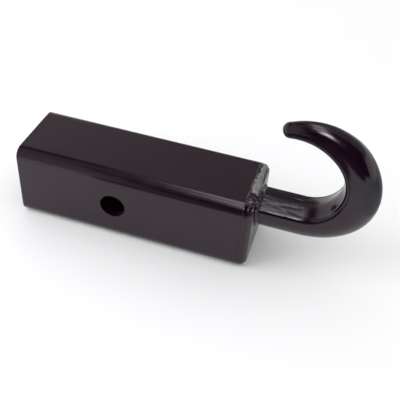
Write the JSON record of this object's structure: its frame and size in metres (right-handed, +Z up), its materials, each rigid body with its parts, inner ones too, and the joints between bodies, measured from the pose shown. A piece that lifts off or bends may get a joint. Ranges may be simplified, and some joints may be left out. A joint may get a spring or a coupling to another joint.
{
  "type": "recovery tow hook",
  "caption": "Square receiver tube with a hitch-pin hole, capped at one end by a plate that carries a forged, upturned open hook.",
  "frame": {"origin": "middle of the hitch-pin bore, on the tube's axis", "axes": "+X along the tube towards the hook, +Y along the hitch-pin bore, +Z up, the way the hook's tip points from the shank"},
  "size_m": [0.2214, 0.0508, 0.1022],
  "materials": {
    "tube_paint": "smooth satin black paint on steel tube",
    "plate_paint": "smooth satin black paint on steel plate",
    "hook_paint": "satin black paint on a forging, faint forged waviness",
    "weld_paint": "painted weld metal, rough, partly ground"
  },
  "bodies": {
    "root": {"receiver_tube": "tube_paint", "end_plate": "plate_paint", "forged_hook": "hook_paint", "end_weld": "weld_paint", "shank_weld": "weld_paint"}
  },
  "joints": []
}
